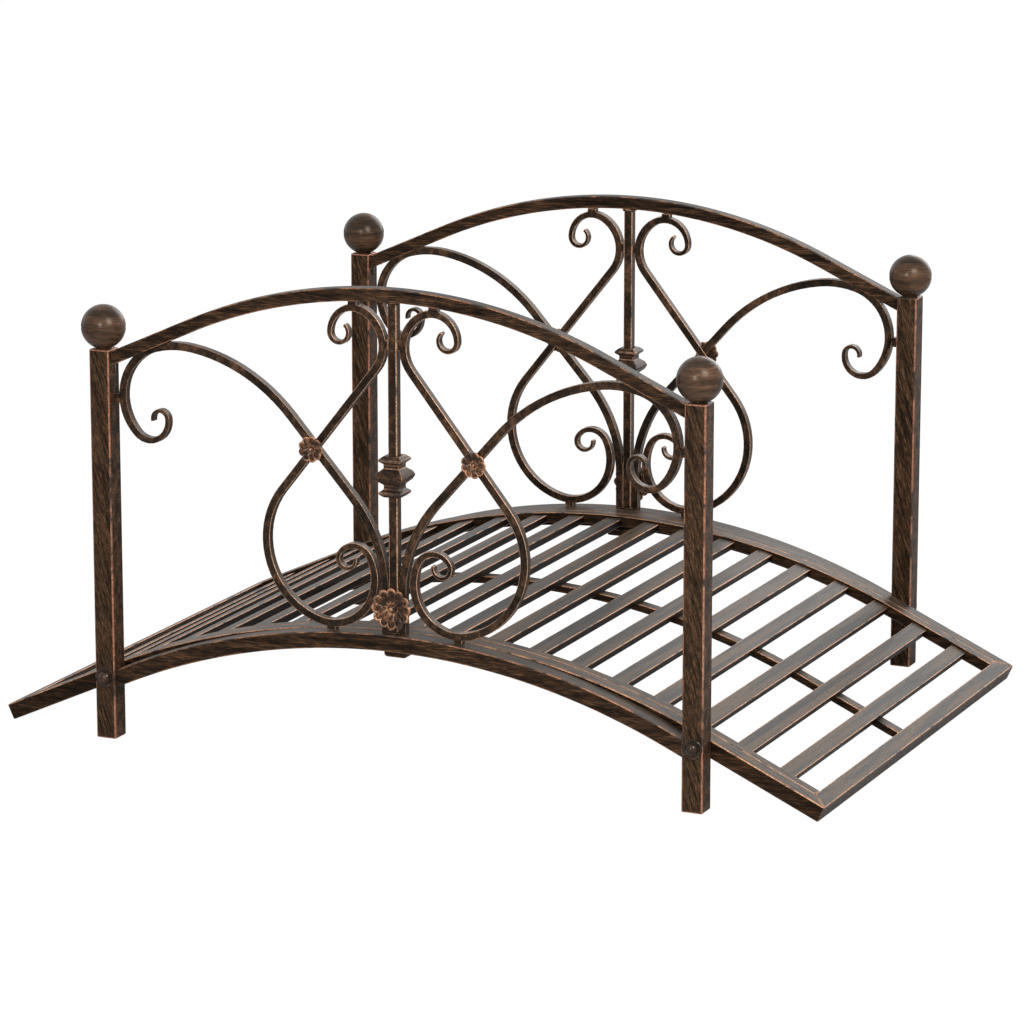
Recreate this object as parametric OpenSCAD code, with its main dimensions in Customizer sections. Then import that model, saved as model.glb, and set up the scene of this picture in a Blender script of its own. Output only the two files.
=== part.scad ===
// Garden bridge in square steel bar and tube. An arched deck of cross slats hangs
// between two arched side panels, each filled with forged scrolls and rosettes.
// Millimetres, +Z up, +X along the bridge. The origin is on the floor, midway
// between the four corner posts.

/* [Overall] */
// Length over the outer faces of the corner posts
panel_length = 751; // [650:1:1100]
// Width over the outer faces of the corner posts
bridge_width = 697; // [480:1:1000]
// Length between the two edges on which the deck's ends stand
deck_stance = 1000; // [900:1:1400]

/* [Corner posts] */
// Side of the square post
post_side = 25; // [20:1:32]
// Height of a post from the floor to its closed top
post_height = 455.5; // [420:1:560]
// Diameter of the ball on each post
ball_diameter = 51; // [36:1:64]
// Diameter of the neck between post and ball
neck_diameter = 19; // [12:1:24]
// Bare height of the neck under the ball
neck_height = 1; // [1:0.5:6]

/* [Top rail] */
// Side of the square top rail
top_rail_side = 15; // [10:1:20]
// Drop from the post's top to the middle of the rail's end
top_rail_drop = 10; // [8:1:40]
// Rise of the rail's middle above its ends
top_rail_rise = 98.6; // [60:1:120]
// Slope of the rail's straight ends, in degrees
top_rail_slope = 24.2; // [20:0.1:30]

/* [Bottom rail] */
// Height of the bottom rail's section
bottom_rail_height = 19; // [12:1:24]
// Width of the bottom rail across the bridge
bottom_rail_width = 23; // [14:1:25]
// Rise of the bottom rail's middle above its ends
bottom_rail_rise = 79.8; // [50:0.5:90]

/* [Deck] */
// Height of the deck's top surface at mid span
deck_crown = 160.5; // [130:1:190]
// Slope of the deck's straight ends, in degrees
deck_slope = 24.4; // [22:0.1:28]
// Width of a deck side rail and of a deck end rail
side_rail_width = 20; // [12:1:26]
// Depth of a deck side rail and of a deck end rail
side_rail_depth = 19; // [16:1:24]
// Width of the ledger inside each side rail
ledger_width = 13.5; // [8:0.5:20]
// Depth of the ledger
ledger_depth = 13; // [10:0.5:16]
// Number of cross slats
slat_count = 19; // [11:2:23]
// Width of a slat along the bridge
slat_width = 20; // [12:1:26]
// Thickness of a slat
slat_thickness = 9; // [5:0.5:10]
// Drop from the side rail's top to the slat's top
slat_drop = 3; // [1:0.5:5]
// Distance from the last slat's middle to the deck's tip
slat_margin = 58; // [50:1:80]
// Width of the lengthwise bar under the slats
centre_bar_width = 16; // [8:1:24]
// Depth of the lengthwise bar
centre_bar_depth = 9; // [4:0.5:10]

/* [Mid span clips] */
// Width of a clip along the bridge
clip_width = 28; // [20:1:40]
// Thickness of a clip
clip_thickness = 8.5; // [5:0.5:10]
// How far a clip reaches across the two rails it ties
clip_reach = 36; // [30:1:40]
// Radius of a clip's lower corners
clip_corner = 4; // [2:0.5:5]

/* [Baluster and collar] */
// Side of the square baluster
baluster_side = 11; // [8:0.5:14]
// Height of the collar's middle
collar_middle = 340.5; // [300:1:380]
// Height of the collar
collar_height = 47; // [36:1:60]
// Width over the collar's middle rim
collar_width = 34.5; // [28:1:40]
// Width over the collar's top and bottom rims
collar_rim_width = 28; // [22:1:30]
// Width of the collar at its hollow necks
collar_neck_width = 19; // [16:1:22]

/* [Scrolls] */
// Side of the square scroll bar
scroll_side = 9; // [6:0.5:11]
// Width of the bar at a scroll's rolled tip
scroll_tip = 3.5; // [3:0.5:6]
// Length over which the bar is drawn down to its tip
scroll_taper = 110; // [60:5:160]
// Height and length of the welds that hold the scrolls
weld_length = 11; // [6:1:16]

/* [Rosettes] */
// Diameter of the small rosettes where the scrolls cross
small_rosette = 31; // [22:1:40]
// Number of petals on a small rosette
small_petals = 10; // [6:1:14]
// Diameter of the rosette at the foot of the baluster
foot_rosette = 50; // [36:1:58]
// Number of petals on the foot rosette
foot_petals = 12; // [8:1:16]
// Height of the foot rosette's middle above the bottom rail
foot_rosette_lift = 30; // [30:1:40]
// Thickness of a rosette's petals
petal_thickness = 4; // [3:0.5:6]

/* [Bolts] */
// Diameter of a bolt's domed head
bolt_head = 15.5; // [12:0.5:18]
// Diameter of the washer under the head
bolt_washer = 24; // [20:0.5:25]
// Thickness of the washer
washer_thickness = 1.5; // [1:0.5:3]

/* [Hidden] */
$fn = 64;
SIDES = ["front", "back"];
ENDS = ["left", "right"];
// Clearance between a flat end and the curved rail it is welded to
ARC_GAP = 0.1;
// Overlap that keeps a cut clear of the face it opens
CUT = 1;
// Angle between the points of a curved rail, and how far a scroll's facets may stray
RAIL_STEP = 1;
SCROLL_STRAY = 0.12;

POST_X = panel_length / 2 - post_side / 2;
POST_Y = bridge_width / 2 - post_side / 2;
BAY = POST_X - post_side / 2;
DECK_Y = POST_Y - post_side / 2;
BOTTOM_RAIL_Y = DECK_Y + bottom_rail_width / 2;
INFILL_Y = POST_Y - 2;
LEDGER_Y = DECK_Y - side_rail_width;
SLAT_Y = LEDGER_Y - ledger_width;

// A curved rail's face is [crown, radius, slope]: an arc, then straight ends on its
// tangents. This gives the radius whose tangents reach a point x out and drop down.
function tangent_radius(x, drop, slope) = (x * sin(slope) - drop * cos(slope)) / (1 - cos(slope));
function arc_radius(x, drop) = (x * x + drop * drop) / (2 * drop);
function face_at(rail, depth) = [rail[0] + depth, rail[1] + depth, rail[2]];
function face_height(rail, x) =
    let (r = rail[1], centre = rail[0] - r)
    abs(x) < r * sin(rail[2])
    ? centre + sqrt(r * r - x * x)
    : centre + (r - abs(x) * sin(rail[2])) / cos(rail[2]);
function face_slope(rail, x) = min(rail[2], asin(min(1, abs(x) / rail[1]))) * sign(x);
function face_points(rail, x_end) =
    let (n = ceil(rail[2] / RAIL_STEP), r = rail[1])
    concat(
        [[-x_end, face_height(rail, x_end)]],
        [for (i = [-n : n]) [r * sin(rail[2] * i / n), rail[0] - r + r * cos(rail[2] * i / n)]],
        [[x_end, face_height(rail, x_end)]]
    );
function backwards(list) = [for (i = [len(list) - 1 : -1 : 0]) list[i]];

TOP_END = post_height - top_rail_drop;
TOP_RAIL = [
    TOP_END + top_rail_rise,
    tangent_radius(BAY, top_rail_rise, top_rail_slope),
    top_rail_slope
];
BOTTOM_RADIUS = arc_radius(BAY, bottom_rail_rise);
BOTTOM_RAIL = [
    deck_crown - bottom_rail_height / 2,
    BOTTOM_RADIUS,
    asin((BAY - bottom_rail_height) / BOTTOM_RADIUS)
];
HEAD_FACE = face_at(TOP_RAIL, -top_rail_side / 2);
FOOT_FACE = face_at(BOTTOM_RAIL, bottom_rail_height / 2);

// The deck's top face runs down to where its lower edges stand on the floor.
DECK_X = deck_stance / 2;
DECK_TOP = [
    deck_crown,
    side_rail_depth + tangent_radius(DECK_X, deck_crown - side_rail_depth, deck_slope),
    deck_slope
];
DECK_TIP = DECK_X + side_rail_depth * sin(deck_slope);
SLAT_PITCH = 2 * (DECK_TIP - slat_margin) / (slat_count - 1);

// Scrolls are set out as bends for the standard frame, given by the bar's centre line
// beside the baluster and beside the post, and by the rail faces above and below it.
DRAWN_NEAR = 10.3;
DRAWN_FAR = 345.7;
DRAWN_FOOT = [158, 830.7, 23.8];
DRAWN_HEAD = [527.5, 611.2, 23.8];
NEAR = baluster_side / 2 + scroll_side / 2 + 0.3;
FAR = BAY - scroll_side / 2 - 0.3;
function fit_x(x) = NEAR + (x - DRAWN_NEAR) * (FAR - NEAR) / (DRAWN_FAR - DRAWN_NEAR);
function fitted(p) =
    let (
        x = fit_x(p[0]),
        drawn_low = face_height(DRAWN_FOOT, p[0]),
        share = (p[1] - drawn_low) / (face_height(DRAWN_HEAD, p[0]) - drawn_low),
        low = face_height(FOOT_FACE, x)
    )
    [x, low + share * (face_height(HEAD_FACE, x) - low)];

// A bar's route starts at [x, height, heading, length so far] and takes steps of
// [radius, turn in degrees], or of [0, length] for a straight.
function step_end(p, s) =
    let (r = s[0] * sign(s[1]), h = p[2] + s[1])
    s[0] == 0
    ? [p[0] + s[1] * cos(p[2]), p[1] + s[1] * sin(p[2]), p[2], p[3] + s[1]]
    : [
        p[0] + r * (sin(h) - sin(p[2])),
        p[1] - r * (cos(h) - cos(p[2])),
        h,
        p[3] + s[0] * abs(s[1]) * PI / 180
    ];
function step_points(p, s) =
    let (n = s[0] == 0 ? 1 : max(2, ceil(abs(s[1]) / (2 * acos(1 - SCROLL_STRAY / s[0])))))
    [for (i = [0 : n - 1]) step_end(p, [s[0], s[1] * i / n])];
function route(p, steps, i = 0) =
    i == len(steps)
    ? [p]
    : concat(step_points(p, steps[i]), route(step_end(p, steps[i]), steps, i + 1));
function drawn_width(from_tip) =
    scroll_tip + (scroll_side - scroll_tip) * min(1, from_tip / scroll_taper);
// Outline of a bar that follows a route and is drawn down at its end, or at both ends.
function bar_outline(points, both_tips) =
    let (
        last = len(points) - 1,
        total = points[last][3],
        line = [for (p = points) fitted(p)],
        edge = [
            for (i = [0 : last])
                let (
                    along = line[min(i + 1, last)] - line[max(i - 1, 0)],
                    tip = both_tips ? min(points[i][3], total - points[i][3]) : total - points[i][3]
                )
                [-along[1], along[0]] / norm(along) * drawn_width(tip) / 2
        ]
    )
    concat(
        [for (i = [0 : last]) line[i] + edge[i]],
        [for (i = [last : -1 : 0]) line[i] - edge[i]]
    );

OUTER_ROUTE = route([10.3, 158, 90, 0], [
    [0, 42], [160, -42], [0, 112], [205, -40], [110, -24], [59, -119], [23, -144], [9.5, -187]
]);
HEART_ROUTE = route([59.5, 498, 216, 0], [
    [11.2, 236], [29.3, 117], [41.4, 100], [0, 186], [89.2, -116], [53.6, -130], [21.8, -119],
    [10.9, -226]
]);
// Where a scroll meets its neighbours: the middle of each weld in the standard frame
CROSSING = [99.5, 357];
POST_WELD = 392;
BALUSTER_WELD = 480;
HEAD_WELD_X = 49;
FOOT_WELD_X = 78;

// Everything on a side is made for the front one, and turned half round for the back.
module on_side(side) {
    rotate([0, 0, side == "back" ? 180 : 0]) children();
}
function hand(side, end) = (end == "left" ? -1 : 1) * (side == "front" ? 1 : -1);

module upright(y, thickness) {
    translate([0, -y, 0]) rotate([90, 0, 0]) linear_extrude(height = thickness, center = true)
        children();
}

module curved_rail(top_face, bottom_face, top_end, bottom_end) {
    polygon(concat(face_points(top_face, top_end), backwards(face_points(bottom_face, bottom_end))));
}

module post(hand) {
    color("#3f332a") translate([hand * POST_X - post_side / 2, -POST_Y - post_side / 2, 0])
        cube([post_side, post_side, post_height]);
}

module finial(hand) {
    r = ball_diameter / 2;
    neck_r = neck_diameter / 2;
    seat = post_height + neck_height;
    middle = seat + sqrt(r * r - neck_r * neck_r);
    color("#4b382b") translate([hand * POST_X, -POST_Y, 0]) {
        difference() {
            translate([0, 0, middle]) sphere(r = r);
            translate([-r, -r, seat - r]) cube([2 * r, 2 * r, r]);
        }
        translate([0, 0, post_height]) cylinder(r = neck_r, h = neck_height);
    }
}

module top_rail() {
    color("#5a4636") upright(POST_Y, top_rail_side)
        curved_rail(face_at(TOP_RAIL, top_rail_side / 2), HEAD_FACE, BAY, BAY);
}

module bottom_rail() {
    color("#46382d") upright(BOTTOM_RAIL_Y, bottom_rail_width)
        curved_rail(FOOT_FACE, face_at(BOTTOM_RAIL, -bottom_rail_height / 2), BAY, BAY);
}

module baluster() {
    foot = FOOT_FACE[0];
    color("#54402f") translate([-baluster_side / 2, -INFILL_Y - baluster_side / 2, foot])
        cube([baluster_side, baluster_side, HEAD_FACE[0] - ARC_GAP - foot]);
}

// A square knuckle: its outline is cut along both directions, then bored for the baluster.
module collar_outline() {
    half = [
        [baluster_side / 2 + 4, 0.5], [collar_rim_width / 2, 0.42], [collar_rim_width / 2, 0.37],
        [collar_neck_width / 2, 0.3], [collar_neck_width / 2, 0.2], [collar_width / 2 - 2, 0.1],
        [collar_width / 2, 0.02]
    ];
    right = concat(half, backwards([for (p = half) [p[0], -p[1]]]));
    left = backwards([for (p = right) [-p[0], p[1]]]);
    polygon([for (p = concat(right, left)) [p[0], p[1] * collar_height]]);
}

module collar() {
    color("#6b4a34") translate([0, -INFILL_Y, collar_middle]) difference() {
        intersection() {
            rotate([90, 0, 0]) linear_extrude(height = collar_width, center = true)
                collar_outline();
            rotate([90, 0, 90]) linear_extrude(height = collar_width, center = true)
                collar_outline();
        }
        cube([baluster_side, baluster_side, collar_height + 2 * CUT], center = true);
    }
}

module outer_scroll_outline() {
    polygon(bar_outline(OUTER_ROUTE, false));
    weld_z = fitted([DRAWN_FAR, POST_WELD])[1];
    translate([FAR - 3, weld_z - weld_length / 2]) square([BAY - FAR + 3, weld_length]);
}

module heart_scroll_outline() {
    polygon(bar_outline(HEART_ROUTE, true));
    weld_z = fitted([DRAWN_NEAR, BALUSTER_WELD])[1];
    translate([baluster_side / 2, weld_z - weld_length / 2])
        square([fit_x(13) - baluster_side / 2, weld_length]);
    head_x = fit_x(HEAD_WELD_X);
    head_z = face_height(HEAD_FACE, head_x + weld_length / 2) - ARC_GAP;
    translate([head_x - weld_length / 2, head_z - 7]) square([weld_length, 7]);
    foot_x = fit_x(FOOT_WELD_X);
    foot_z = face_height(FOOT_FACE, foot_x - weld_length / 2);
    translate([foot_x - weld_length / 2, foot_z]) square([weld_length, 9]);
}

// Where the two scrolls cross, each is halved so that they lie in one plane.
module outer_scroll(hand) {
    color("#5d4433") mirror([hand < 0 ? 1 : 0, 0, 0]) difference() {
        upright(INFILL_Y, scroll_side) outer_scroll_outline();
        upright(INFILL_Y - scroll_side / 2, scroll_side) heart_scroll_outline();
    }
}

module heart_scroll(hand) {
    color("#664834") mirror([hand < 0 ? 1 : 0, 0, 0]) difference() {
        upright(INFILL_Y, scroll_side) heart_scroll_outline();
        upright(INFILL_Y + scroll_side / 2, scroll_side) outer_scroll_outline();
    }
}

// A pressed flower: petals round a dish, with a domed middle, facing outward.
module flower(diameter, petals) {
    petal_r = diameter / 2 * sin(180 / petals) / (1 + sin(180 / petals)) * 1.15;
    ring_r = diameter / 2 - petal_r;
    rotate([90, 0, 0]) {
        linear_extrude(height = petal_thickness) {
            circle(r = ring_r);
            for (i = [1 : petals]) rotate(i * 360 / petals) translate([ring_r, 0])
                circle(r = petal_r);
        }
        translate([0, 0, petal_thickness]) rotate_extrude() intersection() {
            circle(r = diameter / 8);
            square(diameter / 8);
        }
    }
}

module rosette(hand) {
    middle = fitted(CROSSING);
    color("#7d5a3f") translate([hand * middle[0], -INFILL_Y - scroll_side / 2, middle[1]])
        flower(small_rosette, small_petals);
}

module foot_rosette() {
    color("#86603f")
        translate([0, -INFILL_Y - baluster_side / 2, FOOT_FACE[0] + foot_rosette_lift])
        flower(foot_rosette, foot_petals);
}

// The end rail's plan in the frame of the sloping tip, mitred into both side rails
module mitre_plan(extra) {
    polygon([
        [extra, -DECK_Y - extra], [extra, DECK_Y + extra],
        [-side_rail_width, LEDGER_Y], [-side_rail_width, -LEDGER_Y]
    ]);
}

module at_tip(hand) {
    rotate([0, 0, hand < 0 ? 180 : 0])
        translate([DECK_TIP, 0, face_height(DECK_TOP, DECK_TIP)]) rotate([0, deck_slope, 0])
        translate([0, 0, -side_rail_depth]) children();
}

module deck_side_rail() {
    color("#4a3d33") difference() {
        upright(DECK_Y - side_rail_width / 2, side_rail_width)
            curved_rail(DECK_TOP, face_at(DECK_TOP, -side_rail_depth), DECK_TIP, DECK_X);
        for (h = [-1, 1]) at_tip(h) translate([0, 0, -CUT])
            linear_extrude(height = side_rail_depth + 2 * CUT) mitre_plan(CUT);
    }
}

module deck_end_rail(hand) {
    color("#4a3d33") at_tip(hand) linear_extrude(height = side_rail_depth) mitre_plan(0);
}

// Outline of a strip between the end rails, from one depth to another under the deck's top
module deck_strip(depth, thickness) {
    inset = DECK_TIP - side_rail_width * cos(deck_slope);
    curved_rail(
        face_at(DECK_TOP, -depth), face_at(DECK_TOP, -depth - thickness),
        inset - depth * sin(deck_slope), inset - (depth + thickness) * sin(deck_slope)
    );
}

module deck_ledger() {
    color("#54463a") upright(LEDGER_Y - ledger_width / 2, ledger_width)
        deck_strip(0, ledger_depth);
}

module centre_bar() {
    color("#3d3128") upright(0, centre_bar_width)
        deck_strip(slat_drop + slat_thickness, centre_bar_depth);
}

module slat(i) {
    x = (i - (slat_count + 1) / 2) * SLAT_PITCH;
    top = face_at(DECK_TOP, -slat_drop);
    color("#6f6154") translate([x, 0, face_height(top, x)]) rotate([0, face_slope(top, x), 0])
        translate([-slat_width / 2, -SLAT_Y, -slat_thickness])
        cube([slat_width, 2 * SLAT_Y, slat_thickness]);
}

module mid_clip() {
    top = deck_crown - side_rail_depth - 3 * ARC_GAP;
    half = clip_width / 2;
    corner = [for (a = [0 : 10 : 90]) [
        half - clip_corner + clip_corner * sin(a),
        top - clip_thickness + clip_corner - clip_corner * cos(a)
    ]];
    right = concat(corner, [[half, top]]);
    color("#3a2f27") upright(DECK_Y - side_rail_width + clip_reach / 2 - 4, clip_reach)
        polygon(concat(right, backwards([for (p = right) [-p[0], p[1]]])));
}

// Domed bolts on washers hold each post to the deck's side rail behind it.
module bolt(x) {
    sink = bolt_head / 10;
    r = sqrt(bolt_head * bolt_head / 4 + sink * sink);
    rail_middle = face_height(face_at(DECK_TOP, -side_rail_depth / 2), POST_X);
    translate([x, -POST_Y - post_side / 2, rail_middle]) rotate([90, 0, 0]) {
        cylinder(d = bolt_washer, h = washer_thickness);
        translate([0, 0, washer_thickness]) rotate_extrude() intersection() {
            translate([0, -sink]) circle(r = r);
            square(2 * r);
        }
    }
}

module bolts() {
    color("#1d1a18") for (s = SIDES) on_side(s) {
        bolt(-POST_X);
        bolt(POST_X);
    }
}

for (s = SIDES) on_side(s) {
    for (e = ENDS) {
        post(hand(s, e));
        finial(hand(s, e));
        outer_scroll(hand(s, e));
        heart_scroll(hand(s, e));
        rosette(hand(s, e));
    }
    top_rail();
    bottom_rail();
    baluster();
    collar();
    foot_rosette();
    deck_side_rail();
    deck_ledger();
    mid_clip();
}
for (e = ENDS) deck_end_rail(hand("front", e));
for (i = [1 : slat_count]) slat(i);
centre_bar();
bolts();
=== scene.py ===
import math

import bmesh
import bpy
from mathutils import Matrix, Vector


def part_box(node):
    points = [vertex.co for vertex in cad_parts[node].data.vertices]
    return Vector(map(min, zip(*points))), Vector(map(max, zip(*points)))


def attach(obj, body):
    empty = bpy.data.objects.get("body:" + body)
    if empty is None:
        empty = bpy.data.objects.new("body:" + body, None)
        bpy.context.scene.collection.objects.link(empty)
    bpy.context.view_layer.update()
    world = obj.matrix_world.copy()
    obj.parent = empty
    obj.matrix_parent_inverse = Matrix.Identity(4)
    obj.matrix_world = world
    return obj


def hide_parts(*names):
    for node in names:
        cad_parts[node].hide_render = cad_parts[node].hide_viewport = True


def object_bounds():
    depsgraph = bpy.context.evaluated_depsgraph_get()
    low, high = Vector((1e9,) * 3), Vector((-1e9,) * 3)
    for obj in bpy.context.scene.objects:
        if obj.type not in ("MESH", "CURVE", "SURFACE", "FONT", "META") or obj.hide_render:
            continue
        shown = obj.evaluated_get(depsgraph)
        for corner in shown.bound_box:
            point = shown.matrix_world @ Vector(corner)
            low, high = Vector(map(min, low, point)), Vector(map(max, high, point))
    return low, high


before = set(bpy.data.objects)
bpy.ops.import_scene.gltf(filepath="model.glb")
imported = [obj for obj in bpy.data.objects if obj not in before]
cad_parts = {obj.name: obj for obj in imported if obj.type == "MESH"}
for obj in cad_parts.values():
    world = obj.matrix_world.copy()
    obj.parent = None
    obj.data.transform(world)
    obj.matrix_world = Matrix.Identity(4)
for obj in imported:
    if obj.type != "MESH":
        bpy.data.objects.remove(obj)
CAD_BOX = [list(map(float, corner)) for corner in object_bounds()]
bpy.ops.object.select_all(action="DESELECT")
scene = bpy.context.scene
FLOOR_LEVEL = CAD_BOX[0][2]

# --- Camera -----------------------------------------------------------------------
# A long lens a few paces off, a little to the right of the bridge and just above the
# rails, so that the whole span shows with both side panels and the slats between them.
VIEW_TURN = math.radians(24.196)
VIEW_RISE = math.radians(13.266)
CAMERA_AWAY = 5.552
AIM = Vector((-0.0079, 0.0, 0.2268))
LENS_MM = 166.1
FILM_MM = 36.0
away = Vector((
    math.sin(VIEW_TURN) * math.cos(VIEW_RISE),
    -math.cos(VIEW_TURN) * math.cos(VIEW_RISE),
    math.sin(VIEW_RISE),
))
bpy.ops.object.camera_add(
    location=AIM + away * CAMERA_AWAY,
    rotation=(math.pi / 2 - VIEW_RISE, 0.0, VIEW_TURN),
)
camera = bpy.context.object
camera.name = "camera"
camera.data.lens = LENS_MM
camera.data.sensor_width = FILM_MM
camera.data.clip_end = 60.0
scene.camera = camera

# --- Studio floor, backdrop and lamps -----------------------------------------------
# The bridge stands on a white floor that keeps a faint shadow, under one broad lamp
# high on the right, a small one by the camera and a soft one behind.
FLOOR_SIZE = 14.0
FLOOR_GAP = 0.0005
FLOOR_GLOW_SHARE = 0.9
FLOOR_GLOW = 1.09
SKY_ON_OBJECT = 0.26
SKY_SEEN = 1.0
scene.view_settings.view_transform = "Standard"
bpy.ops.mesh.primitive_plane_add(size=FLOOR_SIZE, location=(0.0, 0.0, FLOOR_LEVEL - FLOOR_GAP))
floor = bpy.context.object
floor.name = "studio_floor"
floor_paint = bpy.data.materials.new("floor_paint")
floor_paint.use_nodes = True
nodes, links = floor_paint.node_tree.nodes, floor_paint.node_tree.links
shader = nodes["Principled BSDF"]
shader.inputs["Base Color"].default_value = (0.86, 0.86, 0.86, 1.0)
shader.inputs["Roughness"].default_value = 0.9
shader.inputs["Specular IOR Level"].default_value = 0.1
glow = nodes.new("ShaderNodeEmission")
glow.inputs["Color"].default_value = (1.0, 1.0, 1.0, 1.0)
glow.inputs["Strength"].default_value = FLOOR_GLOW
path = nodes.new("ShaderNodeLightPath")
seen = nodes.new("ShaderNodeMath")
seen.operation = "MULTIPLY"
seen.inputs[1].default_value = FLOOR_GLOW_SHARE
blend = nodes.new("ShaderNodeMixShader")
links.new(path.outputs["Is Camera Ray"], seen.inputs[0])
links.new(seen.outputs[0], blend.inputs["Fac"])
links.new(shader.outputs[0], blend.inputs[1])
links.new(glow.outputs[0], blend.inputs[2])
links.new(blend.outputs[0], nodes["Material Output"].inputs["Surface"])
floor.data.materials.append(floor_paint)

world = bpy.data.worlds.new("studio_white")
scene.world = world
world.use_nodes = True
nodes, links = world.node_tree.nodes, world.node_tree.links
sky = nodes["Background"]
sky.inputs["Color"].default_value = (1.0, 1.0, 1.0, 1.0)
path = nodes.new("ShaderNodeLightPath")
level = nodes.new("ShaderNodeMapRange")
level.inputs["To Min"].default_value = SKY_ON_OBJECT
level.inputs["To Max"].default_value = SKY_SEEN
shown = nodes.new("ShaderNodeMath")
shown.operation = "MAXIMUM"
links.new(path.outputs["Is Camera Ray"], shown.inputs[0])
links.new(path.outputs["Is Glossy Ray"], shown.inputs[1])
links.new(shown.outputs[0], level.inputs["Value"])
links.new(level.outputs["Result"], sky.inputs["Strength"])


def soft_lamp(name, place, size, watts):
    bpy.ops.object.light_add(type="AREA", location=place)
    lamp = bpy.context.object
    lamp.name = name
    lamp.data.size = size
    lamp.data.energy = watts
    towards_bridge = Vector((0.0, 0.0, 0.25)) - Vector(place)
    lamp.rotation_euler = towards_bridge.to_track_quat("-Z", "Y").to_euler()


soft_lamp("broad_lamp", (2.0, -1.5, 2.2), 1.2, 56.0)
soft_lamp("camera_lamp", (0.2, -3.4, 1.6), 0.5, 34.0)
soft_lamp("rear_lamp", (0.4, 3.4, 1.7), 2.4, 40.0)


# --- Corner posts -------------------------------------------------------------------
# Four square steel tubes with welded, flat closed tops. The tube's corners are rolled
# round, painted near black and rubbed back to copper along every corner.
def colour(red, green, blue):
    """A paint colour given as it is mixed, 0 to 255, as a shader takes it."""
    return tuple(
        v / 12.92 if v <= 0.04045 else ((v + 0.055) / 1.055) ** 2.4
        for v in (red / 255, green / 255, blue / 255)
    ) + (1.0,)


def make_upper_face_group():
    """Mask that is 1 on faces turned to the sky, where paint is worn and dusty and where a painted
    sheen of the white sky goes.
    """
    group = bpy.data.node_groups.new("upper_faces", "ShaderNodeTree")
    group.interface.new_socket("Mask", in_out="OUTPUT", socket_type="NodeSocketFloat")
    group.interface.new_socket("Not under", in_out="OUTPUT", socket_type="NodeSocketFloat")
    n, k = group.nodes, group.links
    out = n.new("NodeGroupOutput")
    geometry = n.new("ShaderNodeNewGeometry")
    parts = n.new("ShaderNodeSeparateXYZ")
    ramp = n.new("ShaderNodeMapRange")
    ramp.inputs["From Min"].default_value = 0.55
    ramp.inputs["From Max"].default_value = 0.85
    above = n.new("ShaderNodeMapRange")
    above.inputs["From Min"].default_value = -0.05
    above.inputs["From Max"].default_value = 0.2
    k.new(geometry.outputs["Normal"], parts.inputs["Vector"])
    k.new(parts.outputs["Z"], ramp.inputs["Value"])
    k.new(parts.outputs["Z"], above.inputs["Value"])
    k.new(ramp.outputs["Result"], out.inputs["Mask"])
    k.new(above.outputs["Result"], out.inputs["Not under"])
    return group


def make_brushed_group():
    """Brush strokes that run along a bar: fine streaks and broad cloudy patches."""
    group = bpy.data.node_groups.new("brushed_strokes", "ShaderNodeTree")
    face = group.interface
    face.new_socket("Stroke", in_out="INPUT", socket_type="NodeSocketVector")
    face.new_socket("Turn", in_out="INPUT", socket_type="NodeSocketVector")
    face.new_socket("Fine", in_out="OUTPUT", socket_type="NodeSocketFloat")
    face.new_socket("Cloud", in_out="OUTPUT", socket_type="NodeSocketFloat")
    n, k = group.nodes, group.links
    into, out = n.new("NodeGroupInput"), n.new("NodeGroupOutput")
    place = n.new("ShaderNodeTexCoord")
    turned = n.new("ShaderNodeVectorRotate")
    turned.rotation_type = "EULER_XYZ"
    stretch = n.new("ShaderNodeVectorMath")
    stretch.operation = "MULTIPLY"
    fine = n.new("ShaderNodeTexNoise")
    fine.inputs["Scale"].default_value = 1.0
    fine.inputs["Detail"].default_value = 6.0
    fine.inputs["Roughness"].default_value = 0.62
    fine.inputs["Distortion"].default_value = 0.35
    cloud = n.new("ShaderNodeTexNoise")
    cloud.inputs["Scale"].default_value = 0.16
    cloud.inputs["Detail"].default_value = 4.0
    k.new(place.outputs["Object"], turned.inputs["Vector"])
    k.new(into.outputs["Turn"], turned.inputs["Rotation"])
    k.new(turned.outputs["Vector"], stretch.inputs[0])
    k.new(into.outputs["Stroke"], stretch.inputs[1])
    k.new(stretch.outputs["Vector"], fine.inputs["Vector"])
    k.new(stretch.outputs["Vector"], cloud.inputs["Vector"])
    k.new(fine.outputs["Fac"], out.inputs["Fine"])
    k.new(cloud.outputs["Fac"], out.inputs["Cloud"])
    return group


UPPER_FACE = make_upper_face_group()
BRUSHED = make_brushed_group()


def spread(tree, source, start, stop, to_start=0.0, to_stop=1.0):
    """A value stretched from one span to another and held inside it."""
    span = tree.nodes.new("ShaderNodeMapRange")
    span.inputs["From Min"].default_value = start
    span.inputs["From Max"].default_value = stop
    span.inputs["To Min"].default_value = to_start
    span.inputs["To Max"].default_value = to_stop
    tree.links.new(source, span.inputs["Value"])
    return span.outputs["Result"]


def mixed(tree, factor, first, second):
    """Two colours, or colour outputs, mixed by a mask."""
    mix = tree.nodes.new("ShaderNodeMix")
    mix.data_type = "RGBA"
    tree.links.new(factor, mix.inputs["Factor"])
    for socket, value in ((mix.inputs[6], first), (mix.inputs[7], second)):
        if isinstance(value, tuple):
            socket.default_value = value
        else:
            tree.links.new(value, socket)
    return mix.outputs[2]


def times(tree, first, second):
    """Two values multiplied; the second may be a plain number."""
    product = tree.nodes.new("ShaderNodeMath")
    product.operation = "MULTIPLY"
    tree.links.new(first, product.inputs[0])
    if isinstance(second, float):
        product.inputs[1].default_value = second
    else:
        tree.links.new(second, product.inputs[1])
    return product.outputs[0]


WARM_GLINT = (1.0, 0.82, 0.66, 1.0)


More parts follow.
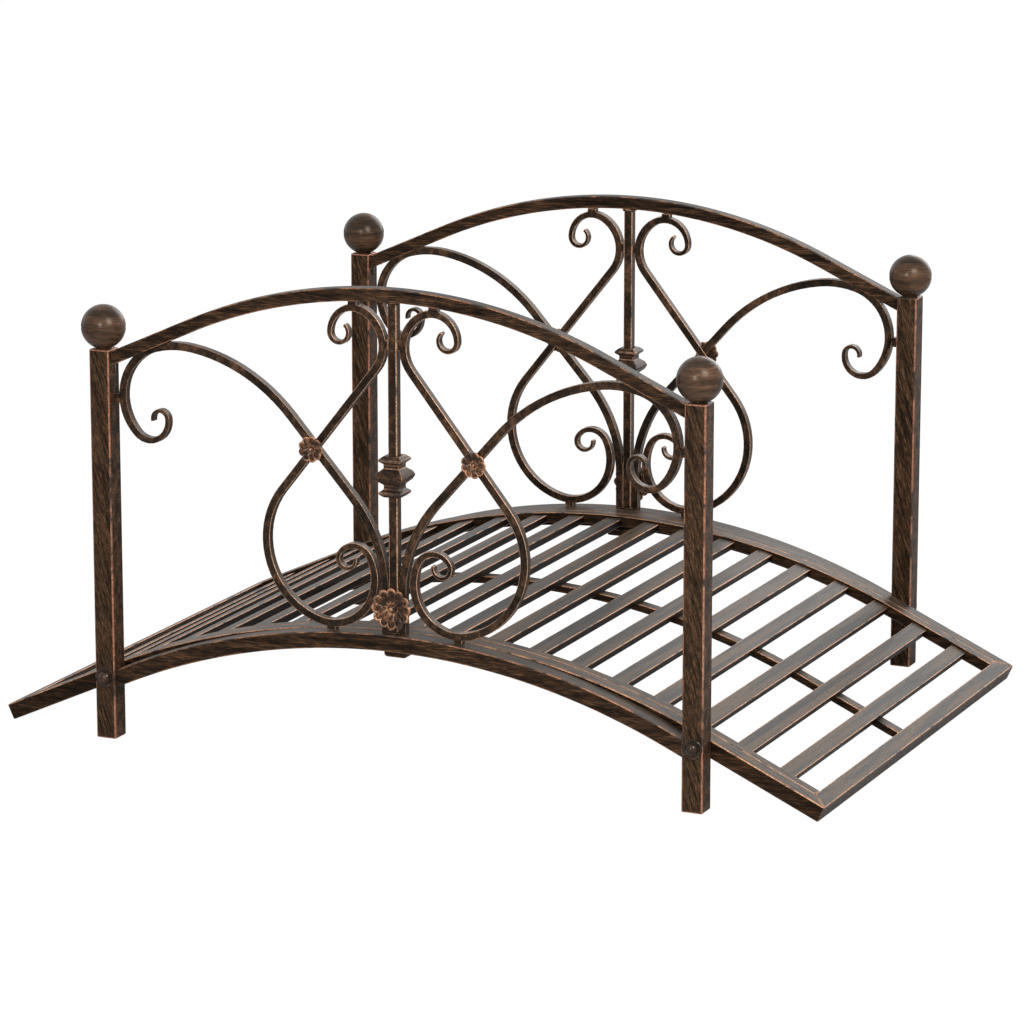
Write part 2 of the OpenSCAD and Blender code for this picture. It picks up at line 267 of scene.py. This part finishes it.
def antique_bronze(
    name, dark, brown, copper, stroke, turn=(0.0, 0.0, 0.0), rubbed=0.6,
    upper=None, upper_cool=None, gloss=0.36, shine=0.1, rough=0.35,
):
    """Near-black paint with brown and copper brush strokes, and greyer on faces that look up: dust
    and wear, and a painted sheen of the white sky.
    """
    paint = bpy.data.materials.new(name)
    paint.use_nodes = True
    tree = paint.node_tree
    n, k = tree.nodes, tree.links
    bsdf = n["Principled BSDF"]
    strokes = n.new("ShaderNodeGroup")
    strokes.node_tree = BRUSHED
    strokes.inputs["Stroke"].default_value = stroke
    strokes.inputs["Turn"].default_value = turn
    fine, cloud = strokes.outputs["Fine"], strokes.outputs["Cloud"]
    streak = times(tree, spread(tree, fine, 0.47, 0.66), spread(tree, cloud, 0.38, 0.62, 0.25, 1.0))
    base = mixed(tree, spread(tree, cloud, 0.36, 0.64), dark, brown)
    painted = mixed(tree, times(tree, streak, rubbed), base, copper)
    # Faces that look up are painted grey: dust and wear, and a painted sheen of the white sky.
    if upper is not None:
        sky = n.new("ShaderNodeGroup")
        sky.node_tree = UPPER_FACE
        cool = mixed(tree, spread(tree, cloud, 0.42, 0.58), upper, upper_cool)
        scuffed_and_sheen = mixed(tree, times(tree, spread(tree, fine, 0.40, 0.60), 0.55), brown, cool)
        worn_and_sheen = mixed(tree, spread(tree, fine, 0.36, 0.58, 0.35, 1.0), scuffed_and_sheen, cool)
        painted = mixed(tree, sky.outputs["Mask"], painted, worn_and_sheen)
    k.new(painted, bsdf.inputs["Base Color"])
    polish = spread(tree, fine, 0.3, 0.7, gloss - 0.08, gloss + 0.14)
    k.new(polish, bsdf.inputs["Roughness"])
    bsdf.inputs["Specular IOR Level"].default_value = shine
    bsdf.inputs["Specular Tint"].default_value = WARM_GLINT
    bump = n.new("ShaderNodeBump")
    bump.inputs["Strength"].default_value = rough
    bump.inputs["Distance"].default_value = 0.0005
    k.new(fine, bump.inputs["Height"])
    k.new(bump.outputs["Normal"], bsdf.inputs["Normal"])
    return paint


def rubbed_copper(name, dark, copper, pale, cover=0.5, painted_shade_under=False):
    """Bare copper on a corner, broken by what is left of the dark paint."""
    paint = bpy.data.materials.new(name)
    paint.use_nodes = True
    tree = paint.node_tree
    n, k = tree.nodes, tree.links
    bsdf = n["Principled BSDF"]
    place = n.new("ShaderNodeTexCoord")
    patches = n.new("ShaderNodeTexNoise")
    patches.inputs["Scale"].default_value = 38.0
    patches.inputs["Detail"].default_value = 6.0
    patches.inputs["Roughness"].default_value = 0.6
    grain = n.new("ShaderNodeTexNoise")
    grain.inputs["Scale"].default_value = 420.0
    grain.inputs["Detail"].default_value = 3.0
    k.new(place.outputs["Object"], patches.inputs["Vector"])
    k.new(place.outputs["Object"], grain.inputs["Vector"])
    metal = mixed(tree, spread(tree, grain.outputs["Fac"], 0.4, 0.65), copper, pale)
    bare_and_under_shade = spread(tree, patches.outputs["Fac"], 0.62 - cover * 0.36, 0.70 - cover * 0.30)
    # Faces that look down can be kept almost free of copper: a painted shade under the deck.
    if painted_shade_under:
        sky = n.new("ShaderNodeGroup")
        sky.node_tree = UPPER_FACE
        bare_and_under_shade = times(tree, bare_and_under_shade, spread(tree, sky.outputs["Not under"], 0.0, 1.0, 0.12, 1.0))
    k.new(mixed(tree, bare_and_under_shade, dark, metal), bsdf.inputs["Base Color"])
    k.new(spread(tree, bare_and_under_shade, 0.0, 1.0, 0.2, 0.55), bsdf.inputs["Metallic"])
    k.new(spread(tree, grain.outputs["Fac"], 0.3, 0.7, 0.28, 0.46), bsdf.inputs["Roughness"])
    bump = n.new("ShaderNodeBump")
    bump.inputs["Strength"].default_value = 0.2
    bump.inputs["Distance"].default_value = 0.0004
    k.new(grain.outputs["Fac"], bump.inputs["Height"])
    k.new(bump.outputs["Normal"], bsdf.inputs["Normal"])
    return paint


def rounded_copy(node, name, radius, paint, edge_paint, segments=3):
    """A CAD bar with its triangles joined into clean faces and its corners rolled round."""
    piece = bpy.data.objects.new(name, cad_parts[node].data.copy())
    scene.collection.objects.link(piece)
    bpy.context.view_layer.objects.active = piece
    piece.select_set(True)
    bpy.ops.object.mode_set(mode="EDIT")
    bpy.ops.mesh.select_all(action="SELECT")
    bpy.ops.mesh.remove_doubles(threshold=0.00001)
    bpy.ops.mesh.dissolve_limited(angle_limit=math.radians(0.2))
    bpy.ops.mesh.normals_make_consistent(inside=False)
    bpy.ops.object.mode_set(mode="OBJECT")
    bpy.ops.object.shade_smooth_by_angle(angle=math.radians(32))
    piece.data.materials.clear()
    piece.data.materials.append(paint)
    piece.data.materials.append(edge_paint)
    corner = piece.modifiers.new("rolled_corners", "BEVEL")
    corner.width = radius
    corner.segments = segments
    corner.limit_method = "ANGLE"
    corner.angle_limit = math.radians(35)
    corner.harden_normals = True
    corner.material = 1
    bpy.ops.object.modifier_apply(modifier=corner.name)
    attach(piece, "root")
    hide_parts(node)
    bpy.ops.object.select_all(action="DESELECT")
    return piece


SIDES = ("front", "back")
ENDS = ("left", "right")
post_paint = antique_bronze(
    "post_bronze", colour(18, 14, 11), colour(52, 40, 30), colour(150, 108, 76),
    stroke=(1700.0, 700.0, 120.0), turn=(0.0, 0.30, 0.0), rubbed=0.75,
)
post_edge = rubbed_copper(
    "post_corner_copper", colour(54, 40, 31), colour(148, 96, 70), colour(190, 136, 108), 0.62
)
for side in SIDES:
    for end in ENDS:
        rounded_copy(
            f"{side}_{end}_post", f"{side}_{end}_post_tube", 0.0017, post_paint, post_edge
        )

# --- Ball finials -------------------------------------------------------------------
# Each is a hollow ball pressed from two halves, closed by a fine seam round its middle,
# and welded on a short dark neck in the centre of the post's closed top.
ball_paint = antique_bronze(
    "ball_bronze", colour(34, 25, 19), colour(78, 57, 43), colour(150, 108, 80),
    stroke=(70.0, 70.0, 620.0), rubbed=0.4, gloss=0.25, shine=0.3, rough=0.2,
)


def turned_piece(name, outline, centre, turn_axis, steps=64):
    """Spins an outline of [distance from axis, place along axis] points round an axis."""
    bpy.ops.mesh.primitive_plane_add(size=0.01, location=(0.0, 0.0, 0.0))
    piece = bpy.context.object
    piece.name = name
    shape = bmesh.new()
    points = [shape.verts.new((r, 0.0, z)) for r, z in outline]
    for a, b in zip(points, points[1:]):
        shape.edges.new((a, b))
    shape.to_mesh(piece.data)
    shape.free()
    bpy.ops.object.mode_set(mode="EDIT")
    bpy.ops.mesh.select_all(action="SELECT")
    bpy.ops.mesh.spin(steps=steps, angle=2 * math.pi, center=(0.0, 0.0, 0.0), axis=(0.0, 0.0, 1.0))
    bpy.ops.mesh.select_all(action="SELECT")
    bpy.ops.mesh.remove_doubles(threshold=0.00002)
    bpy.ops.mesh.normals_make_consistent(inside=False)
    bpy.ops.object.mode_set(mode="OBJECT")
    bpy.ops.object.shade_smooth_by_angle(angle=math.radians(40))
    piece.rotation_euler = turn_axis
    piece.location = centre
    bpy.ops.object.transform_apply(location=True, rotation=True, scale=True)
    return piece


def finish_piece(piece, paint, material_slot, *cad_nodes):
    if paint is not None:
        piece.data.materials.clear()
        piece.data.materials.append(paint)
    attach(piece, "root")
    if cad_nodes:
        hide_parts(*cad_nodes)
    bpy.ops.object.select_all(action="DESELECT")


for side in SIDES:
    for end in ENDS:
        node = f"{side}_{end}_finial"
        base, top = (Vector(c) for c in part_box(node))
        radius = max(top.x - base.x, top.y - base.y) / 2
        middle = top.z - radius - base.z
        neck = 0.0095
        outline = [(0.0, 0.0), (neck + 0.0008, 0.0), (neck, 0.0012)]
        start = math.degrees(math.asin(neck / radius))
        for i in range(41):
            angle = math.radians(180 - start - (180 - start) * i / 40)
            seam = 0.00035 if 88.0 < math.degrees(angle) < 92.0 else 0.0
            skin = radius - seam
            outline.append((skin * math.sin(angle), middle + skin * math.cos(angle)))
        outline[-1] = (0.0, middle + radius)
        centre = ((base.x + top.x) / 2, (base.y + top.y) / 2, base.z)
        ball = turned_piece(f"{side}_{end}_ball", outline, centre, (0.0, 0.0, 0.0))
        finish_piece(ball, ball_paint, "ball_bronze", node)

# --- Top and bottom rails -------------------------------------------------------------
# Square tubes rolled to an arch. Their ends are cut upright and welded to the posts,
# and their upper faces are painted as a pale line along the whole arch: dust and a painted sheen.
rail_paint = antique_bronze(
    "rail_bronze", colour(16, 12, 10), colour(46, 35, 27), colour(140, 98, 66),
    stroke=(60.0, 900.0, 900.0), rubbed=0.6, upper=colour(78, 64, 52), upper_cool=colour(54, 51, 49),
)
rail_edge = rubbed_copper(
    "rail_corner_copper", colour(48, 36, 28), colour(138, 94, 66), colour(176, 126, 94), 0.5
)
for side in SIDES:
    for node, name, corner in (
        ("top_rail", "top_rail_tube", 0.0012),
        ("bottom_rail", "bottom_rail_tube", 0.0013),
        ("mid_clip", "clip_plate", 0.0012),
    ):
        rounded_copy(f"{side}_{node}", f"{side}_{name}", corner, rail_paint, rail_edge)

# --- Balusters and collars --------------------------------------------------------------
# A square bar stands in the middle of each panel. A cast collar with three rims is
# slid on it at half height, its rims rubbed bright and its hollow necks left dark.
bar_paint = antique_bronze(
    "scroll_bronze", colour(18, 14, 11), colour(50, 37, 28), colour(138, 98, 68),
    stroke=(150.0, 900.0, 120.0), rubbed=0.45, gloss=0.25, shine=0.2, rough=0.15,
)
bar_edge = rubbed_copper(
    "scroll_corner_copper", colour(66, 50, 39), colour(158, 116, 86), colour(206, 166, 136), 0.8
)
collar_paint = antique_bronze(
    "collar_bronze", colour(22, 17, 14), colour(58, 43, 34), colour(142, 102, 76),
    stroke=(260.0, 260.0, 420.0), rubbed=0.5, gloss=0.28, shine=0.16,
)
collar_edge = rubbed_copper(
    "collar_edge_copper", colour(44, 33, 26), colour(112, 82, 62), colour(160, 122, 96), 0.4
)
for side in SIDES:
    rounded_copy(
        f"{side}_baluster", f"{side}_baluster_bar", 0.0012, bar_paint, bar_edge
    )
    rounded_copy(
        f"{side}_collar", f"{side}_collar_casting", 0.0010, collar_paint, collar_edge
    )

# --- Scrolls ----------------------------------------------------------------------------
# Square bars bent cold round a jig, drawn down at their rolled tips. Two outer scrolls
# and two heart-shaped ones fill each panel and are welded wherever they touch.
for side in SIDES:
    for end in ENDS:
        for kind in ("outer_scroll", "heart_scroll"):
            node = f"{side}_{end}_{kind}"
            rounded_copy(node, f"{node}_bar", 0.0011, bar_paint, bar_edge)

# --- Rosettes -----------------------------------------------------------------------------
# Pressed sheet flowers, cupped, with a raised rim round every petal and a domed boss.
# Small ones cover the crossings of the scrolls, a large one the baluster's foot.
rosette_paint = antique_bronze(
    "rosette_copper", colour(16, 12, 9), colour(58, 40, 30), colour(168, 112, 78),
    stroke=(240.0, 240.0, 240.0), rubbed=0.9, gloss=0.2, shine=0.3,
)
rim_paint = rubbed_copper(
    "petal_rim_copper", colour(46, 33, 25), colour(140, 96, 68), colour(196, 146, 112), 0.68
)


def petal(length, half_width, depth, root):
    """One cupped petal along +X: a rim drawn to a point at its root round a shallow dish."""
    bpy.ops.mesh.primitive_torus_add(
        major_radius=half_width * 0.84, minor_radius=half_width * 0.19,
        major_segments=32, minor_segments=10, location=(0.0, 0.0, 0.0),
    )
    rim = bpy.context.object
    bpy.ops.mesh.primitive_uv_sphere_add(
        segments=28, ring_count=16, radius=half_width * 0.88, location=(0.0, 0.0, 0.0)
    )
    dish = bpy.context.object
    bpy.ops.object.mode_set(mode="EDIT")
    bpy.ops.mesh.select_all(action="SELECT")
    bpy.ops.transform.resize(value=(1.0, 1.0, 0.34))
    bpy.ops.object.mode_set(mode="OBJECT")
    rim.data.materials.append(rim_paint)
    dish.data.materials.append(rosette_paint)
    rim.select_set(True)
    bpy.context.view_layer.objects.active = rim
    bpy.ops.object.join()
    bpy.ops.object.mode_set(mode="EDIT")
    bpy.ops.mesh.select_all(action="SELECT")
    bpy.ops.transform.resize(value=(length / (2.06 * half_width), 1.0, 1.0))
    bpy.ops.object.mode_set(mode="OBJECT")
    narrow = rim.modifiers.new("pointed_root", "SIMPLE_DEFORM")
    narrow.deform_method = "TAPER"
    narrow.deform_axis = "X"
    narrow.factor = 0.75
    bpy.ops.object.modifier_apply(modifier=narrow.name)
    rim.location = (root + length / 2, 0.0, depth)
    rim.rotation_euler = (0.0, -0.20, 0.0)
    bpy.ops.object.transform_apply(location=True, rotation=True, scale=True)
    return rim


def rosette(name, node, petals):
    base, top = (Vector(c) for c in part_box(node))
    facing = -1.0 if base.y < 0 else 1.0
    back = top.y if facing < 0 else base.y
    reach = (top.x - base.x) / 2
    depth = abs(top.y - base.y)
    root = reach * 0.16
    half_width = reach * math.sin(math.pi / petals) * 0.84
    first = petal(reach * 0.985 - root, half_width, depth * 0.42, root)
    parts = [first]
    for i in range(1, petals):
        other = first.copy()
        other.data = first.data.copy()
        scene.collection.objects.link(other)
        other.rotation_euler = (0.0, 0.0, 2 * math.pi * i / petals)
        parts.append(other)
    for size, rise, flat in ((reach * 0.20, depth * 0.36, 0.55), (reach * 0.11, depth * 0.66, 0.8)):
        bpy.ops.mesh.primitive_uv_sphere_add(
            segments=28, ring_count=14, radius=size, location=(0, 0, rise)
        )
        parts.append(bpy.context.object)
        parts[-1].scale = (1.0, 1.0, flat)
        parts[-1].data.materials.append(rim_paint if flat > 0.6 else rosette_paint)
    bpy.ops.mesh.primitive_cylinder_add(
        vertices=40, radius=reach * 0.78, depth=depth * 0.3, location=(0, 0, depth * 0.15)
    )
    parts.append(bpy.context.object)
    parts[-1].data.materials.append(rosette_paint)
    bpy.ops.object.select_all(action="DESELECT")
    for part in parts:
        part.select_set(True)
    bpy.context.view_layer.objects.active = first
    bpy.ops.object.transform_apply(location=True, rotation=True, scale=True)
    bpy.ops.object.join()
    flower = bpy.context.object
    flower.name = name
    flower.rotation_euler = (-facing * math.pi / 2, 0.0, 0.0)
    flower.location = ((base.x + top.x) / 2, back, (base.z + top.z) / 2)
    bpy.ops.object.transform_apply(location=True, rotation=True, scale=True)
    bpy.ops.object.shade_smooth_by_angle(angle=math.radians(50))
    finish_piece(flower, None, "rosette_copper", node)


for side in SIDES:
    for end in ENDS:
        rosette(f"{side}_{end}_small_flower", f"{side}_{end}_rosette", 9)
    rosette(f"{side}_large_flower", f"{side}_foot_rosette", 12)

# --- Deck frame -----------------------------------------------------------------------------
# Two arched side rails are mitred into the end rails at the tips. A ledger is welded
# along the inside of each side rail, and one bar runs lengthwise under the slats.
# The upper faces of the deck bars are painted grey: dust and wear, and a painted sheen of the white
# sky.
deck_paint = antique_bronze(
    "deck_bronze", colour(10, 8, 6), colour(34, 25, 18), colour(126, 84, 54),
    stroke=(56.0, 900.0, 900.0), rubbed=0.5, upper=colour(104, 86, 69), upper_cool=colour(66, 64, 62),
)
end_paint = antique_bronze(
    "deck_end_bronze", colour(10, 8, 6), colour(34, 25, 18), colour(126, 84, 54),
    stroke=(900.0, 56.0, 900.0), rubbed=0.5, upper=colour(104, 86, 69), upper_cool=colour(66, 64, 62),
)
deck_edge = rubbed_copper(
    "deck_corner_copper", colour(26, 19, 15), colour(156, 108, 74), colour(204, 154, 118), 0.75,
    painted_shade_under=True,
)
for side in SIDES:
    rounded_copy(
        f"{side}_deck_side_rail", f"{side}_deck_rail_tube", 0.0012, deck_paint, deck_edge
    )
    rounded_copy(
        f"{side}_deck_ledger", f"{side}_ledger_bar", 0.0008, deck_paint, deck_edge
    )
for end in ENDS:
    rounded_copy(
        f"{end}_deck_end_rail", f"{end}_end_rail_tube", 0.0012, end_paint, deck_edge
    )
rounded_copy("centre_bar", "centre_bar_tube", 0.0010, deck_paint, deck_edge)

# --- Slats ------------------------------------------------------------------------------------
# Flat tubes laid across the bridge, each square to the arch, with their ends welded to
# the ledgers. Their tops are painted grey: dust and wear from feet, and a painted sheen.
# Their near-black sides and undersides are a painted shade between and under the slats,
# and both long edges are rubbed bright.
slat_paint = antique_bronze(
    "slat_bronze", colour(5, 4, 3), colour(15, 11, 9), colour(72, 48, 34),
    stroke=(760.0, 20.0, 760.0), rubbed=0.3, upper=colour(104, 87, 71), upper_cool=colour(66, 65, 64),
    gloss=0.36, shine=0.1,
)
slats = [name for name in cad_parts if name.startswith("slat_")]
for node in slats:
    rounded_copy(node, f"{node}_tube", 0.0010, slat_paint, deck_edge)

# --- Bolts --------------------------------------------------------------------------------------
# Black domed bolts on dished washers, one through the foot of each post into the deck's
# side rail. The washers' rims are worn to copper on the bridge; here heads and washers
# share one dark paint with copper strokes.
bolt_paint = antique_bronze(
    "bolt_black", colour(20, 17, 15), colour(40, 29, 23), colour(140, 90, 60),
    stroke=(240.0, 240.0, 240.0), rubbed=0.4, gloss=0.16, shine=0.4,
)
bolt_low, bolt_high = (Vector(c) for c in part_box("bolts"))
washer_r = (bolt_high.z - bolt_low.z) / 2
bolt_z = (bolt_high.z + bolt_low.z) / 2
post_face = abs(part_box("front_left_post")[0][1])
bolt_x = (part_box("front_right_post")[0][0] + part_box("front_right_post")[1][0]) / 2
reach = abs(bolt_low.y) - post_face
head_r = washer_r * 0.64
profile = [(0.0, 0.0), (washer_r, 0.0), (washer_r, 0.0009), (washer_r - 0.0008, 0.0016),
           (washer_r - 0.003, 0.0012), (head_r + 0.0006, 0.001)]
for i in range(13):
    angle = math.radians(90 * i / 12)
    profile.append((head_r * math.cos(angle), 0.0012 + (reach - 0.0012) * math.sin(angle)))
profile[-1] = (0.0, reach)
heads = []
for facing in (-1.0, 1.0):
    for x in (-bolt_x, bolt_x):
        heads.append(turned_piece(
            "bolt_head", profile, (x, facing * post_face, bolt_z),
            (-facing * math.pi / 2, 0.0, 0.0), steps=48,
        ))
bpy.ops.object.select_all(action="DESELECT")
for head in heads:
    head.select_set(True)
bpy.context.view_layer.objects.active = heads[0]
bpy.ops.object.join()
bolts = bpy.context.object
bolts.name = "domed_bolts"
finish_piece(bolts, bolt_paint, "bolt_black", "bolts")

# --- Weld beads -----------------------------------------------------------------------------------
# Lumpy, glossy beads where bars are joined: a run down each post under the top rail's
# end, beads round the baluster's head and foot, and one each side of a slat's middle.
weld_paint = antique_bronze(
    "weld_bronze", colour(14, 11, 9), colour(46, 33, 25), colour(150, 104, 74),
    stroke=(420.0, 420.0, 420.0), rubbed=0.6, gloss=0.18, shine=0.4, rough=0.5,
)
lumps = bpy.data.textures.new("weld_lumps", "CLOUDS")
lumps.noise_scale = 0.004


def weld_bead(place, size):
    """One frozen drop of weld, its surface pushed in and out by small lumps."""
    bpy.ops.mesh.primitive_ico_sphere_add(subdivisions=4, radius=1.0, location=(0.0, 0.0, 0.0))
    bead = bpy.context.object
    bead.scale = size
    bead.location = place
    bpy.ops.object.transform_apply(location=True, rotation=True, scale=True)
    uneven = bead.modifiers.new("uneven_skin", "DISPLACE")
    uneven.texture = lumps
    uneven.strength = 0.0014
    uneven.mid_level = 0.6
    bpy.ops.object.modifier_apply(modifier=uneven.name)
    bpy.ops.object.shade_smooth()
    bead.data.materials.append(weld_paint)
    return bead


beads = []
for side in SIDES:
    rail_low, rail_high = (Vector(c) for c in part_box(f"{side}_top_rail"))
    foot_low, foot_high = (Vector(c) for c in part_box(f"{side}_baluster"))
    rail_y = (rail_low.y + rail_high.y) / 2
    bar_y = (foot_low.y + foot_high.y) / 2
    bar_half = (foot_high.x - foot_low.x) / 2
    for x in (rail_low.x, rail_high.x):
        beads.append(weld_bead((x, rail_y, rail_low.z - 0.003), (0.0020, 0.0042, 0.0068)))
    for across in (-1.0, 1.0):
        for out in (-1.0, 1.0):
            corner_x, corner_y = across * bar_half, bar_y + out * bar_half * 0.8
            for place_z, size in (
                (foot_low.z + 0.001, (0.0030, 0.0030, 0.0024)),
                (foot_high.z - 0.001, (0.0024, 0.0026, 0.0018)),
            ):
                beads.append(weld_bead((corner_x, corner_y, place_z), size))
bar_low, bar_high = (Vector(c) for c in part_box("centre_bar"))
for node in slats:
    slat_low, slat_high = (Vector(c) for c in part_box(node))
    slat_x, slat_z = (slat_low.x + slat_high.x) / 2, (slat_low.z + slat_high.z) / 2
    beads.append(weld_bead((slat_x, bar_low.y, slat_z - 0.0065), (0.0042, 0.0016, 0.0016)))
    beads.append(weld_bead((slat_x, bar_high.y, slat_z - 0.0065), (0.0042, 0.0016, 0.0016)))
bpy.ops.object.select_all(action="DESELECT")
for bead in beads:
    bead.select_set(True)
bpy.context.view_layer.objects.active = beads[0]
bpy.ops.object.join()
welds = bpy.context.object
welds.name = "weld_beads"
finish_piece(welds, None, "scroll_bronze")
